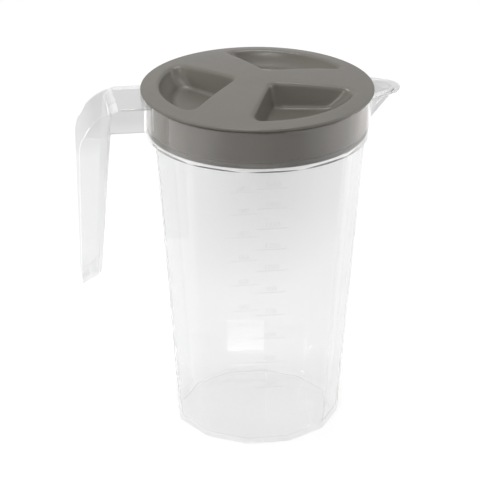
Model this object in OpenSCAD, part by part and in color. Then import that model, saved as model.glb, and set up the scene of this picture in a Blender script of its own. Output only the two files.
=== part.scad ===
// Lidded pitcher: a clear twelve-sided jug with a round collar, a beak spout and an open hook handle,
// closed by a domed plug lid with three finger pockets. The lid turns in the collar and lifts off.
// The origin is on the jug's axis, at the underside of the base. +Z is up, the spout points to +X
// and the handle to -X.

/* [Jug body] */
// Width of the base across its corners
base_d = 103.2; // [94:0.2:112]
// Width of the body across its corners, just under the collar
body_top_d = 131.2; // [122:0.2:140]
// Height of the twelve-sided body, up to the underside of the collar
body_h = 187.2; // [165:0.2:215]
// Thickness of the body wall
wall = 2; // [1.5:0.1:3]
// Thickness of the floor
floor_t = 2.4; // [1.6:0.1:5]

/* [Collar] */
// How far the round collar stands out past the body's corners
collar_step = 2.2; // [1:0.1:5]
// Height of the collar, from its underside to the rim
collar_h = 24.9; // [22:0.1:32]
// Thickness of the collar wall
collar_wall = 2; // [1.5:0.1:3]
// Thickness of the shoulder that joins the body to the collar
shoulder_t = 2; // [1.5:0.1:3]
// Rounding of the collar's lower edge
collar_edge_r = 1.4; // [0.5:0.1:1.5]
// Rounding of the rim
rim_r = 0.7; // [0.3:0.1:0.7]

/* [Spout] */
// How far the spout's tip reaches past the collar
spout_reach = 18.7; // [14:0.1:24]
// Angle between the spout's side and its middle line, seen from above
spout_angle = 28; // [24:1:32]
// Rounding of the tip, seen from above
spout_tip_r = 13; // [11:0.1:15]
// How far below the rim the keel meets the collar
spout_drop = 22; // [18:0.1:23]
// Thickness of the spout wall
spout_wall = 1.8; // [1.4:0.1:2.2]
// Width of the bead round the lip
lip_w = 2; // [1:0.1:2.4]
// Height of the bead round the lip
lip_h = 2; // [1.6:0.1:4.5]

/* [Handle] */
// How far the handle's outer face stands out past the collar
handle_reach = 40.6; // [36:0.2:48]
// Width of the handle across its two side plates, along the arm
handle_w = 40; // [34:0.5:44]
// Width across the side plates at the tip of the leg, where they have closed in
handle_tip_w = 19; // [14:0.5:32]
// Height of the handle, from the top of the arm to the tip of the leg
handle_h = 116; // [90:1:140]
// How far the arm's top lies above the rim
arm_lift = 0.3; // [0:0.1:0.6]
// Height of the side plates under the arm
arm_side_h = 15.2; // [12:0.1:18]
// Depth of the leg where it leaves the arm
leg_depth_top = 19; // [16:0.1:21]
// Depth of the leg above its rounded end
leg_depth_end = 12.2; // [11:0.1:15]
// Outer radius of the bend between arm and leg
bend_r = 28; // [24:0.5:32]
// Inner radius of the bend under the web
inner_bend_r = 8; // [5:0.5:10]
// Rounding of the leg's inner lower corner
end_r = 6; // [4:0.5:8]
// How far the leg's end drops from its inner corner to its tip
end_drop = 3.4; // [1:0.1:5]
// Step at the seam between the arm and the leg
seam_step = 0.8; // [0:0.1:1.5]
// Thickness of the side plates
plate_t = 2; // [1.5:0.1:3]
// Thickness of the web
web_t = 2; // [1.5:0.1:3]

/* [Volume scale] */
// Volume between two lines, in millilitres
scale_step_ml = 150; // [100:10:250]
// Number of the lowest line, counted in steps
scale_first = 2; // [1:1:4]
// Least distance between the highest line and the collar
scale_top_gap = 10; // [4:0.5:40]
// Length of a line
scale_line_l = 18; // [10:0.5:22]
// Height of a line
scale_line_h = 0.9; // [0.6:0.1:1.5]
// How far a line stands out of the wall
scale_line_t = 0.4; // [0.2:0.05:0.8]

/* [Lid] */
// How far the lid's disc overhangs the collar
lid_overhang = 2.2; // [1:0.1:4]
// Gap between the rim and the underside of the disc's edge
lid_gap = 1.1; // [0.8:0.1:2]
// Thickness of the disc
lid_t = 2; // [1.5:0.1:3]
// Rise of the dome from the disc's edge to its middle
crown_h = 6.5; // [4:0.1:9]
// Thickness of the skirt
skirt_t = 2; // [1.5:0.1:2.6]
// Thickness of the skirt's foot, which holds the seal ring
foot_t = 3.6; // [3.4:0.1:4.5]
// Height of the skirt's foot
foot_h = 5; // [4.8:0.1:6]
// Width of the pour window in the skirt
window_w = 40; // [30:0.5:44]
// Number of strainer slots in the skirt
slot_count = 7; // [3:1:9]
// Width of a strainer slot
slot_w = 3; // [2:0.1:3.5]
// Turn from one strainer slot to the next
slot_pitch = 5.4; // [4:0.1:6]

/* [Finger pockets] */
// Distance from the axis to a pocket's inner corner
pocket_in = 12.5; // [10:0.1:18]
// Angle between a pocket's side and its middle line
pocket_angle = 51; // [44:1:56]
// Distance from the axis to a pocket's outer side
pocket_out = 58.5; // [52:0.1:59]
// Rounding of a pocket's corners
pocket_r = 6; // [4:0.5:8]
// Depth of a pocket below the crown
pocket_depth = 15.5; // [10:0.1:17]
// How far a pocket's sides lean in on the way down
pocket_lean = 3; // [0:0.1:5]
// Thickness of a pocket's walls and floor
pocket_wall = 1.8; // [1.4:0.1:2.4]

/* [Seal ring] */
// Height of the seal ring
seal_h = 2; // [1.6:0.1:2]
// Radial thickness of the seal ring
seal_t = 1.8; // [1.4:0.1:1.8]

/* [Clearances] */
// Gap between the skirt and the collar's bore
skirt_gap = 0.5; // [0.4:0.05:0.8]
// Gap round the seal ring, in its groove and to the bore
seal_gap = 0.3; // [0.2:0.05:0.35]
// Gap between the skirt's foot and the ledge under it
seat_gap = 0.3; // [0.2:0.05:0.5]

/* [Hidden] */
$fn = 96;
over = 1;
sliver = 0.01;
clear_tint = "#dfe3e4";
lid_tint = "#89867f";
seal_tint = "#6f6c66";

body_sides = 12;
half_side_turn = 180 / body_sides;
flat_ratio = cos(half_side_turn);
base_r = base_d / 2;
body_top_r = body_top_d / 2;
body_slope = (body_top_r - base_r) / body_h;
flat_lean = atan(body_slope * flat_ratio);
function corner_r(z) = base_r + body_slope * z;
function flat_r(z) = corner_r(z) * flat_ratio;

collar_r = body_top_r + collar_step;
bore_r = collar_r - collar_wall;
ledge_z = body_h + shoulder_t;
rim_z = body_h + collar_h;

spout_tip_x = collar_r + spout_reach;
spout_root_x = bore_r - skirt_gap - skirt_t;
spout_foot_z = rim_z - spout_drop;
keel_t = spout_wall / cos(spout_angle);
root_r = 1;

outer_x = collar_r + handle_reach;
arm_z = rim_z + arm_lift;
seam_z = arm_z - arm_side_h;
tip_z = arm_z - handle_h;
corner_z = tip_z + end_drop;
leg_in_top = outer_x - leg_depth_top;
leg_in_end = outer_x - leg_depth_end;
bend_z = arm_z - web_t - inner_bend_r;
end_z = corner_z + end_r;
leg_lean = atan((leg_in_end - leg_in_top) / (bend_z - end_z));
end_lean = atan(end_drop / leg_depth_end);
arc_steps = 12;
outward = 0;
upward = 90;
inward = 180;
downward = 270;
function arc(cx, cz, r, from, to) =
    [for (i = [0 : arc_steps]) let (a = from + (to - from) * i / arc_steps) [cx + r * cos(a), cz + r * sin(a)]];

inner_base_r = corner_r(floor_t) - wall / flat_ratio;
sides_area = body_sides / 2 * sin(2 * half_side_turn);
ml = 1000;
cube_root = 1 / 3;
frustum_ratio = 3 * body_slope / sides_area;
function level_r(volume) = pow(pow(inner_base_r, 3) + frustum_ratio * volume, cube_root);
function level_z(step) = floor_t + (level_r(step * scale_step_ml * ml) - inner_base_r) / body_slope;
function inner_volume(z) = (pow(inner_base_r + body_slope * (z - floor_t), 3) - pow(inner_base_r, 3)) / frustum_ratio;
scale_last = floor(inner_volume(body_h - scale_top_gap) / (scale_step_ml * ml));

lid_r = collar_r + lid_overhang;
dome_r = (lid_r * lid_r + crown_h * crown_h) / (2 * crown_h);
under_r = dome_r - lid_t;
dome_z = rim_z + lid_gap - sqrt(under_r * under_r - lid_r * lid_r);
crown_z = dome_z + dome_r;
skirt_r = bore_r - skirt_gap;
skirt_z = ledge_z + seat_gap;
window_z = skirt_z + foot_h + over;
window_h = rim_z - lid_gap - window_z;
window_turn = 90;
slots_turn = 135;
pocket_floor_z = crown_z - pocket_depth;
pocket_turns = [-60, 60, 180];

seal_r = bore_r - seal_gap;
groove_lip = (foot_h - seal_h - 2 * seal_gap) / 2;
groove_z = skirt_z + groove_lip;
groove_h = seal_h + 2 * seal_gap;
groove_r = seal_r - seal_t - seal_gap;

// Twelve-sided tapered block between two heights, drawn in by an inset measured at its flats
module body_block(z0, z1, inset) {
    translate([0, 0, z0])
        rotate(half_side_turn)
            cylinder(h = z1 - z0, r1 = corner_r(z0) - inset / flat_ratio,
                     r2 = corner_r(z1) - inset / flat_ratio, $fn = body_sides);
}

// Outside of the collar as one solid of revolution, with its lower edge and rim rounded
module collar_block() {
    rotate_extrude() {
        translate([0, body_h + collar_edge_r]) square([collar_r, collar_h - collar_edge_r - rim_r]);
        translate([0, body_h]) square([collar_r - collar_edge_r, collar_edge_r]);
        translate([collar_r - collar_edge_r, body_h + collar_edge_r]) circle(collar_edge_r);
        translate([0, rim_z - rim_r]) square([collar_r - rim_r, rim_r]);
        translate([collar_r - rim_r, rim_z - rim_r]) circle(rim_r);
    }
}

// Plan of the spout: two sides that close in on a wide round tip, drawn in by an inset
module spout_plan(inset) {
    apex_x = spout_tip_x - spout_tip_r + spout_tip_r / sin(spout_angle) - inset / sin(spout_angle);
    root_y = (apex_x - spout_root_x) * tan(spout_angle) - root_r / cos(spout_angle);
    hull() {
        translate([spout_tip_x - spout_tip_r, 0]) circle(r = spout_tip_r - inset, $fn = 64);
        for (side = [-1, 1])
            translate([spout_root_x, side * root_y]) circle(r = root_r, $fn = 32);
    }
}

// Beak from the plan at the rim down to the foot of its keel
module beak(inset, top_z, foot_x, foot_z) {
    hull() {
        translate([0, 0, top_z - sliver]) linear_extrude(sliver) spout_plan(inset);
        translate([spout_root_x, -root_r / 2, foot_z]) cube([foot_x - spout_root_x, root_r, sliver]);
    }
}

// Open channel of the spout, which also cuts the collar's wall
module spout_channel() {
    beak(lip_w + spout_wall, rim_z + over, collar_r - keel_t, spout_foot_z + 2 * keel_t);
}

// Line of the web seen from the side, from the collar along the arm, round the bend and down the leg
function web_line(gap) = concat(
    [[0, bend_z + inner_bend_r + gap]],
    arc(leg_in_top - inner_bend_r, bend_z, inner_bend_r + gap, upward, leg_lean),
    arc(leg_in_end + end_r, end_z, end_r - gap, inward + leg_lean, downward - end_lean),
    [[outer_x, tip_z + gap]]);

// Side view of everything on the jug's side of the web
module inside_hook(gap) {
    polygon(concat(web_line(gap), [[outer_x, tip_z - handle_h], [0, tip_z - handle_h]]));
}

// Side view of everything inside the handle's outer edge
module hook_block(step) {
    reach = outer_x - step;
    bend = arc(reach - bend_r, arm_z - bend_r, bend_r, upward, outward);
    polygon(concat([[0, tip_z], [0, arm_z]], bend, [[reach, tip_z]]));
}

// Side view of the two side plates, which fill the bend above the seam
module plate_shape(step) {
    difference() {
        hook_block(step);
        intersection() {
            inside_hook(0);
            translate([0, seam_z - 2 * handle_h]) square([outer_x, 2 * handle_h]);
        }
    }
}

// Side view of everything on either side of the web
module beside_web() {
    difference() {
        translate([-outer_x, tip_z - handle_h]) square([3 * outer_x, 3 * handle_h]);
        difference() {
            inside_hook(web_t);
            inside_hook(0);
        }
    }
}

// Side view turned up and drawn out across the handle, past both side plates
module across_handle() {
    rotate([90, 0, 180]) linear_extrude(2 * handle_w, center = true) children();
}

// Block between the side plates' outer faces, which close in below the seam, drawn in by an inset
module grip_block(inset) {
    top_y = handle_w / 2 - inset;
    tip_y = handle_tip_w / 2 - inset;
    translate([-2 * outer_x, 0, 0])
        rotate([90, 0, 90])
            linear_extrude(2 * outer_x)
                polygon([[-top_y, arm_z + over], [-top_y, seam_z], [-tip_y, tip_z], [-tip_y, tip_z - over],
                         [tip_y, tip_z - over], [tip_y, tip_z], [top_y, seam_z], [top_y, arm_z + over]]);
}

// Handle between two heights: two side plates joined by the web
module handle_part(z0, z1, step) {
    difference() {
        intersection() {
            across_handle()
                intersection() {
                    plate_shape(step);
                    translate([0, z0]) square([2 * outer_x, z1 - z0]);
                }
            grip_block(0);
        }
        intersection() {
            across_handle() beside_web();
            grip_block(plate_t);
        }
    }
}

// Row of raised lines on the facet that faces -Y, at equal steps of volume
module scale_lines() {
    for (step = [scale_first : scale_last])
        translate([0, -flat_r(level_z(step)), level_z(step)])
            rotate([flat_lean, 0, 0])
                translate([-scale_line_l / 2, -scale_line_t, -scale_line_h / 2])
                    cube([scale_line_l, scale_line_t, scale_line_h]);
}

// Plan of a finger pocket along +X, drawn in by an inset
module pocket_plan(inset) {
    far = 2 * pocket_out;
    offset(r = pocket_r)
        offset(delta = -pocket_r - inset)
            intersection() {
                circle(pocket_out);
                polygon([[pocket_in, 0], [pocket_in + far, far * tan(pocket_angle)],
                         [pocket_in + far, -far * tan(pocket_angle)]]);
            }
}

// Tapered block of a finger pocket, from its floor to the crown
module pocket_block(grow, floor_z) {
    hull() {
        translate([0, 0, crown_z - sliver]) linear_extrude(sliver) pocket_plan(-grow);
        translate([0, 0, floor_z]) linear_extrude(sliver) pocket_plan(pocket_lean - grow);
    }
}

// Everything under the domed top of the disc
module under_dome(r) {
    translate([0, 0, dome_z]) sphere(r, $fn = 192);
}

module jug_floor() {
    color(clear_tint) body_block(0, floor_t, 0);
}

module jug_wall() {
    color(clear_tint)
        difference() {
            body_block(floor_t, body_h, 0);
            body_block(floor_t - over, body_h + over, wall);
        }
}

module jug_collar() {
    color(clear_tint)
        difference() {
            collar_block();
            translate([0, 0, ledge_z]) cylinder(r = bore_r, h = collar_h);
            body_block(body_h - over, ledge_z + over, wall);
            spout_channel();
        }
}

module jug_spout() {
    color(clear_tint)
        difference() {
            union() {
                beak(lip_w, rim_z, collar_r, spout_foot_z);
                translate([0, 0, rim_z - lip_h]) linear_extrude(lip_h) spout_plan(0);
            }
            spout_channel();
            collar_block();
            translate([0, 0, ledge_z]) cylinder(r = collar_r - over, h = 2 * collar_h);
        }
}

module handle_arm() {
    color(clear_tint)
        difference() {
            handle_part(seam_z, arm_z, seam_step);
            collar_block();
            translate([0, 0, ledge_z]) cylinder(r = collar_r, h = 2 * collar_h);
        }
}

module handle_leg() {
    color(clear_tint) handle_part(tip_z, seam_z, 0);
}

module scale_front() {
    color(clear_tint) scale_lines();
}

module scale_back() {
    color(clear_tint) rotate(180) scale_lines();
}

module seal_ring() {
    color(seal_tint)
        translate([0, 0, groove_z + seal_gap])
            difference() {
                cylinder(r = seal_r, h = seal_h);
                translate([0, 0, -over]) cylinder(r = seal_r - seal_t, h = seal_h + 2 * over);
            }
}

module lid_skirt() {
    color(lid_tint)
        intersection() {
            under_dome(under_r);
            difference() {
                translate([0, 0, skirt_z]) cylinder(r = skirt_r, h = crown_z - skirt_z);
                translate([0, 0, skirt_z - over]) cylinder(r = skirt_r - foot_t, h = crown_z);
                translate([0, 0, skirt_z + foot_h]) cylinder(r = skirt_r - skirt_t, h = crown_z);
                translate([0, 0, groove_z])
                    difference() {
                        cylinder(r = skirt_r + over, h = groove_h);
                        cylinder(r = groove_r, h = groove_h);
                    }
                rotate(window_turn)
                    translate([skirt_r - foot_t, -window_w / 2, window_z])
                        cube([2 * foot_t, window_w, window_h]);
                for (slot = [0 : slot_count - 1])
                    rotate(slots_turn + (slot - (slot_count - 1) / 2) * slot_pitch)
                        translate([skirt_r - foot_t, -slot_w / 2, window_z])
                            cube([2 * foot_t, slot_w, window_h]);
            }
        }
}

module lid_cover() {
    color(lid_tint)
        difference() {
            intersection() {
                under_dome(dome_r);
                translate([0, 0, rim_z]) cylinder(r = lid_r, h = 2 * collar_h);
            }
            under_dome(under_r);
            for (turn = pocket_turns)
                rotate(turn) pocket_block(pocket_wall, pocket_floor_z - pocket_wall);
        }
}

module finger_pocket(turn) {
    color(lid_tint)
        intersection() {
            under_dome(dome_r);
            rotate(turn)
                difference() {
                    pocket_block(pocket_wall, pocket_floor_z - pocket_wall);
                    pocket_block(0, pocket_floor_z);
                }
        }
}

module finger_pocket_front() {
    finger_pocket(pocket_turns[0]);
}

module finger_pocket_back() {
    finger_pocket(pocket_turns[1]);
}

module finger_pocket_handle() {
    finger_pocket(pocket_turns[2]);
}

jug_floor();
jug_wall();
jug_collar();
jug_spout();
handle_arm();
handle_leg();
scale_front();
scale_back();
seal_ring();
lid_skirt();
lid_cover();
finger_pocket_front();
finger_pocket_back();
finger_pocket_handle();
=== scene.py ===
# %% [markdown]
# # A clear pitcher with a turning lid
# The pitcher is a jug of clear moulded plastic and a taupe lid that plugs its round collar.
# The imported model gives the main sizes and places. Each step below takes one piece, reads its size
# from that model, and builds the piece that is seen in its place.

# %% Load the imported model
import math

import bmesh
import bpy
from mathutils import Matrix, Vector


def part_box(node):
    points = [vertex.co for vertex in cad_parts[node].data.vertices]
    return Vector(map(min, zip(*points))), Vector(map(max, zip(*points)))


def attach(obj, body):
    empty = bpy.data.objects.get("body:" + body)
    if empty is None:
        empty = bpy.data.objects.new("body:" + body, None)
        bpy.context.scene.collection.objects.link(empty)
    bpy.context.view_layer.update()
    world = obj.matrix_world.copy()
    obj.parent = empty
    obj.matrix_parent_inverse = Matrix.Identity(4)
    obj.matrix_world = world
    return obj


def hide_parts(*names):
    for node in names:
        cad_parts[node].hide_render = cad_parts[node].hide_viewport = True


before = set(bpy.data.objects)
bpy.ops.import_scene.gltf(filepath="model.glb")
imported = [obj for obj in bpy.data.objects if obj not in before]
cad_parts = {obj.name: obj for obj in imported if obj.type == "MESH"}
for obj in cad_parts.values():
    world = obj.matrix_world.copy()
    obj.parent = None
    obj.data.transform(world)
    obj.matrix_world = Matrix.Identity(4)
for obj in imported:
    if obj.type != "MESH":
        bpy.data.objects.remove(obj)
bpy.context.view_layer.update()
scene = bpy.context.scene
MM = 0.001


def in_mm(lengths):
    """Lengths in millimetres, rounded for a printed line."""
    return [round(length / MM, 1) for length in lengths]


# %% [markdown]
# # Camera
# The picture was taken with a long lens from above the lid, eight degrees round towards the handle.
# A wide lens close by would spread the jug's sides apart, and a long one keeps them almost parallel.
# The place and the lens below were fitted to the jug's outline, so the lens needs no shift.

# %% Place the camera
CAMERA_PLACE = Vector((-191.6, -1289.1, 709.2)) * MM
CAMERA_DIP = 0.428
CAMERA_TURN = math.radians(-8)
LENS_LENGTH = 175.04
SENSOR_WIDE = 36
lens = bpy.data.cameras.new("camera")
lens.lens = LENS_LENGTH
lens.sensor_width = SENSOR_WIDE
camera = bpy.data.objects.new("camera", lens)
camera.location = CAMERA_PLACE
camera.rotation_euler = (math.pi / 2 - CAMERA_DIP, 0, CAMERA_TURN)
scene.collection.objects.link(camera)
scene.camera = camera
print("camera place in mm:", in_mm(camera.location))

# %% [markdown]
# # Room
# Clear plastic has almost no colour of its own: it shows what stands round it. In an evenly white room
# the jug would vanish. A photographer leaves the background white and darkens the room before the jug.
# The shader does the same. Light Path tells which kind of ray asks: the camera gets white, reflections
# and refractions get a room that is darker to the front and towards the horizon, and the light that
# falls on the pieces is a dim share of that.


# %% Helpers for shader nodes
def link(tree, source, target):
    tree.links.new(source, target)


def remap(tree, value, low, high, from_low=0.0, from_high=1.0):
    """Stretches a value from one range to another, and holds it past the ends."""
    node = tree.nodes.new("ShaderNodeMapRange")
    node.inputs["From Min"].default_value = from_low
    node.inputs["From Max"].default_value = from_high
    node.inputs["To Min"].default_value = low
    node.inputs["To Max"].default_value = high
    link(tree, value, node.inputs["Value"])
    return node.outputs["Result"]


def combine(tree, operation, first, second):
    """Joins two values by a math operation. The second may be a number."""
    node = tree.nodes.new("ShaderNodeMath")
    node.operation = operation
    link(tree, first, node.inputs[0])
    if isinstance(second, (int, float)):
        node.inputs[1].default_value = second
    else:
        link(tree, second, node.inputs[1])
    return node.outputs[0]


def times(tree, first, second):
    return combine(tree, "MULTIPLY", first, second)


def larger(tree, first, second):
    return combine(tree, "MAXIMUM", first, second)


# %% Tell the rays apart
def seen_ray(tree, mirrored, through):
    """1 for the camera, one share for a reflection, one for a refraction, and 0 for other light."""
    path = tree.nodes.new("ShaderNodeLightPath")
    refracted = path.outputs["Is Transmission Ray"]
    in_glass = times(tree, refracted, through)
    # A refracted ray counts as glossy too, so it is taken away to leave the mirrored ones.
    bounced = combine(tree, "SUBTRACT", path.outputs["Is Glossy Ray"], refracted)
    in_mirror = times(tree, larger(tree, bounced, 0.0), mirrored)
    return larger(tree, path.outputs["Is Camera Ray"], larger(tree, in_mirror, in_glass))


# %% Let light pass many walls
LIGHT_STEPS = 32
scene.view_settings.view_transform = "Standard"
scene.cycles.max_bounces = LIGHT_STEPS
scene.cycles.glossy_bounces = LIGHT_STEPS
scene.cycles.transmission_bounces = LIGHT_STEPS
print("steps of a light ray:", LIGHT_STEPS)

# %% Make the room white
WHITE = (1, 1, 1, 1)
ROOM_LIGHT = 0.35
ROOM_MIRRORED = 1.0
ROOM_THROUGH = 0.9
FRONT_TO_BACK = (0.3, 1)
FRONT_TO_BACK_Y = (-0.8, 0.1)
LOW_TO_HIGH = (0.55, 1.1)
LOW_TO_HIGH_Z = (0.0, 0.7)
room = bpy.data.worlds.new("room")
room.use_nodes = True
scene.world = room
room_tree = room.node_tree
sky = room_tree.nodes["Background"]
sky.inputs["Color"].default_value = WHITE
look = room_tree.nodes.new("ShaderNodeTexCoord")
look_parts = room_tree.nodes.new("ShaderNodeSeparateXYZ")
link(room_tree, look.outputs["Generated"], look_parts.inputs[0])
by_side = remap(room_tree, look_parts.outputs["Y"], *FRONT_TO_BACK, *FRONT_TO_BACK_Y)
by_height = remap(room_tree, look_parts.outputs["Z"], *LOW_TO_HIGH, *LOW_TO_HIGH_Z)
by_ray = remap(room_tree, seen_ray(room_tree, ROOM_MIRRORED, ROOM_THROUGH), ROOM_LIGHT, 1)
room_glow = times(room_tree, by_ray, times(room_tree, by_side, by_height))
room_path = room_tree.nodes.new("ShaderNodeLightPath")
room_strength = larger(room_tree, room_glow, room_path.outputs["Is Camera Ray"])
link(room_tree, room_strength, sky.inputs["Strength"])
print("room light:", ROOM_LIGHT)

# %% [markdown]
# # Floor
# The floor glows, so the camera sees it as white as the room, and a little light from the lamps leaves
# a faint shadow under the jug. It could be one even white, but then the glass would have nothing to
# show. So its glow holds painted pools of light and painted shade that only reflections and refractions
# find, as a photographer lays white and grey cards round a glass. Each pool follows a place on the floor.


# %% Start the floor's finish
def new_finish(name):
    """Starts a finish and returns it with its node tree and its shader."""
    finish = bpy.data.materials.new(name)
    finish.use_nodes = True
    return finish, finish.node_tree, finish.node_tree.nodes["Principled BSDF"]


floor_finish, floor_tree, floor_shader = new_finish("pale_floor")
floor_shader.inputs["Roughness"].default_value = 1
floor_shader.inputs["Specular IOR Level"].default_value = 0
floor_shader.inputs["Emission Color"].default_value = WHITE
print("finish of the floor:", floor_finish.name)


# %% Measure places on the floor
def measure(operation, vector, other=(0, 0, 0)):
    """One number from a place on the floor: its distance, or how far it lies along another vector."""
    node = floor_tree.nodes.new("ShaderNodeVectorMath")
    node.operation = operation
    node.inputs[1].default_value = other
    link(floor_tree, vector, node.inputs[0])
    return node.outputs["Value"]


def pool(value, glow, reach):
    """A glow that goes from its first value to its second over a reach of the floor."""
    return remap(floor_tree, value, *glow, *reach)


floor_place = floor_tree.nodes.new("ShaderNodeTexCoord").outputs["Object"]
floor_parts = floor_tree.nodes.new("ShaderNodeSeparateXYZ")
link(floor_tree, floor_place, floor_parts.inputs[0])
away = measure("LENGTH", floor_place)
rightward = floor_parts.outputs["X"]
leftward = times(floor_tree, rightward, -1)
print("nodes that measure the floor:", len(floor_tree.nodes))

# %% Pools that a reflection finds
NEAR_GLOW = (0.8, 0.05)
NEAR_REACH = (0.28, 0.52)
BEHIND_WAY = (-0.35, 0.94, 0)
BEHIND_GLOW = (0.05, 1.4)
BEHIND_REACH = (-0.38, 0.25)
SIDES_GLOW = (0, 2)
SIDES_REACH = (0.3, 0.5)
# Painted pools of light in the floor's glow, for reflections only: bright near the jug, behind it and far to
# the sides.
near = pool(away, NEAR_GLOW, NEAR_REACH)
behind = pool(measure("DOT_PRODUCT", floor_place, BEHIND_WAY), BEHIND_GLOW, BEHIND_REACH)
sides = pool(larger(floor_tree, leftward, rightward), SIDES_GLOW, SIDES_REACH)
in_mirror = larger(floor_tree, larger(floor_tree, near, behind), sides)
print("brightest pool in a reflection:", max(NEAR_GLOW + BEHIND_GLOW + SIDES_GLOW))

# %% A long painted shadow of the lid behind the jug
SHADE_PLACE = (0.066, 0.38, 0)
SHADE_SPREAD = (0.088, 0.23, 1)
SHADE_LEAN = -0.25
SHADE_GLOW = (0.37, 1)
SHADE_REACH = (0, 1)
# The shade is painted into the floor's glow: a painted shadow of the lid, seen only through the glass.
in_shade = floor_tree.nodes.new("ShaderNodeMapping")
in_shade.vector_type = "TEXTURE"
in_shade.inputs["Location"].default_value = SHADE_PLACE
in_shade.inputs["Rotation"].default_value = (0, 0, SHADE_LEAN)
in_shade.inputs["Scale"].default_value = SHADE_SPREAD
link(floor_tree, floor_place, in_shade.inputs["Vector"])
shade = pool(measure("LENGTH", in_shade.outputs["Vector"]), SHADE_GLOW, SHADE_REACH)
print("darkest share of the shade:", SHADE_GLOW[0])

# %% Pools that the glass finds
GLASS_GLOW = (0.78, 0.37)
GLASS_REACH = (0.43, 0.50)
UNDER_GLOW = (1.07, 1)
UNDER_REACH = (0.06, 0.2)
BEFORE_GLOW = (0.8, 1)
BEFORE_REACH = (-0.25, -0.08)
ASIDE_GLOW = (0, 0.75)
ASIDE_REACH = (0.2, 0.45)
RIGHT_SHARE = 0.6
HANDLE_GLOW = (0, 0.6)
HANDLE_REACH = (0.035, 0.075)
# Painted light and shade in the glow that the glass finds: dimmer far behind, brighter under the jug, darker
# before it, lighter to the sides and on the handle's side.
under_jug = pool(away, UNDER_GLOW, UNDER_REACH)
before_jug = pool(floor_parts.outputs["Y"], BEFORE_GLOW, BEFORE_REACH)
aside = larger(floor_tree, leftward, times(floor_tree, rightward, RIGHT_SHARE))
in_glass = pool(away, GLASS_GLOW, GLASS_REACH)
for share in (shade, under_jug, before_jug):
    in_glass = times(floor_tree, in_glass, share)
for side_pool in (pool(aside, ASIDE_GLOW, ASIDE_REACH), pool(leftward, HANDLE_GLOW, HANDLE_REACH)):
    in_glass = larger(floor_tree, in_glass, side_pool)
print("glow of the floor in the glass, near and far:", GLASS_GLOW)

# %% Lay the floor
FLOOR_GLOW = 0.82
FLOOR_SEEN = 0.25
FLOOR_PALE = 0.55
FLOOR_SIZE = 8
FLOOR_DROP = 0.2 * MM
floor_seen = seen_ray(floor_tree, in_mirror, in_glass)
link(floor_tree, remap(floor_tree, floor_seen, FLOOR_PALE, FLOOR_SEEN), floor_shader.inputs["Base Color"])
link(floor_tree, times(floor_tree, floor_seen, FLOOR_GLOW), floor_shader.inputs["Emission Strength"])
floor_bm = bmesh.new()
bmesh.ops.create_grid(floor_bm, x_segments=1, y_segments=1, size=FLOOR_SIZE / 2,
                      matrix=Matrix.Translation((0, 0, -FLOOR_DROP)))
floor_mesh = bpy.data.meshes.new("floor")
floor_bm.to_mesh(floor_mesh)
floor_bm.free()
floor_mesh.materials.append(floor_finish)
floor = bpy.data.objects.new("floor", floor_mesh)
scene.collection.objects.link(floor)
print("floor side in m:", FLOOR_SIZE)

# %% [markdown]
# # Lamps
# The lamps light the lid and the band, and leave soft gleams on smooth faces. One big lamp would leave
# the band flat, so five soft ones stand round the jug. The left lamp and the low one give light without
# a gleam, because their image would whiten the lid's arms and the band.

# %% Hang the lamps
LAMP_AIM = Vector((0, 0, 0.12))


def soft_lamp(name, place, size, power, glare=True):
    """Hangs a square lamp that faces the middle of the jug. Without glare, no face mirrors it."""
    light = bpy.data.lights.new(name, "AREA")
    light.size = size
    light.energy = power
    lamp = bpy.data.objects.new(name, light)
    lamp.location = place
    lamp.rotation_euler = (LAMP_AIM - Vector(place)).to_track_quat("-Z", "Y").to_euler()
    lamp.visible_camera = False
    lamp.visible_glossy = glare
    scene.collection.objects.link(lamp)
    return lamp


lamps = [
    soft_lamp("lamp_above", place=(-0.05, 0.2, 1.5), size=0.5, power=6),
    soft_lamp("lamp_left", place=(-1.4, 0.0, 0.75), size=0.6, power=11, glare=False),
    soft_lamp("lamp_right", place=(1.4, 0.1, 0.7), size=1.0, power=6),
    soft_lamp("lamp_front", place=(-0.45, -1.1, 1.05), size=0.35, power=6.5),
    soft_lamp("lamp_low", place=(0.1, -1.3, 0.5), size=0.35, power=2.5, glare=False),
]
print("lamps:", [lamp.name for lamp in lamps])

# %% [markdown]
# # Finishes
# Moulded plastic looks even, but its tone, gloss and face vary a little from place to place. Image
# textures could show that, but each would need a picture and a map. So each finish is one shader fed
# by noise on Object coordinates, which stays put when a piece moves.

# %% Helpers for tones
TONE_STOPS = (0.3, 0.7)


def speckle(tree, cells, detail=2.0):
    """Noise that is fixed to the piece, with so many cells in a metre."""
    place = tree.nodes.new("ShaderNodeTexCoord")
    noise = tree.nodes.new("ShaderNodeTexNoise")
    noise.inputs["Scale"].default_value = cells
    noise.inputs["Detail"].default_value = detail
    link(tree, place.outputs["Object"], noise.inputs["Vector"])
    return noise.outputs["Fac"]


def two_tones(tree, shader, dark, light, cells, detail=2.0):
    """Colours the surface in patches between two near tones."""
    ramp = tree.nodes.new("ShaderNodeValToRGB")
    for stop, place, tone in zip(ramp.color_ramp.elements, TONE_STOPS, (dark, light)):
        stop.position = place
        stop.color = (*tone, 1)
    link(tree, speckle(tree, cells, detail), ramp.inputs["Fac"])
    link(tree, ramp.outputs["Color"], shader.inputs["Base Color"])


# %% Helpers for gloss and grain
def roughen(tree, shader, low, high, cells):
    """Makes the surface rougher in some patches than in others."""
    link(tree, remap(tree, speckle(tree, cells), low, high), shader.inputs["Roughness"])


def dent(tree, shader, cells, detail, strength, depth):
    """Tilts the surface in small dents, as the mould's own face does."""
    bump = tree.nodes.new("ShaderNodeBump")
    bump.inputs["Strength"].default_value = strength
    bump.inputs["Distance"].default_value = depth
    link(tree, speckle(tree, cells, detail), bump.inputs["Height"])
    link(tree, bump.outputs["Normal"], shader.inputs["Normal"])


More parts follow.
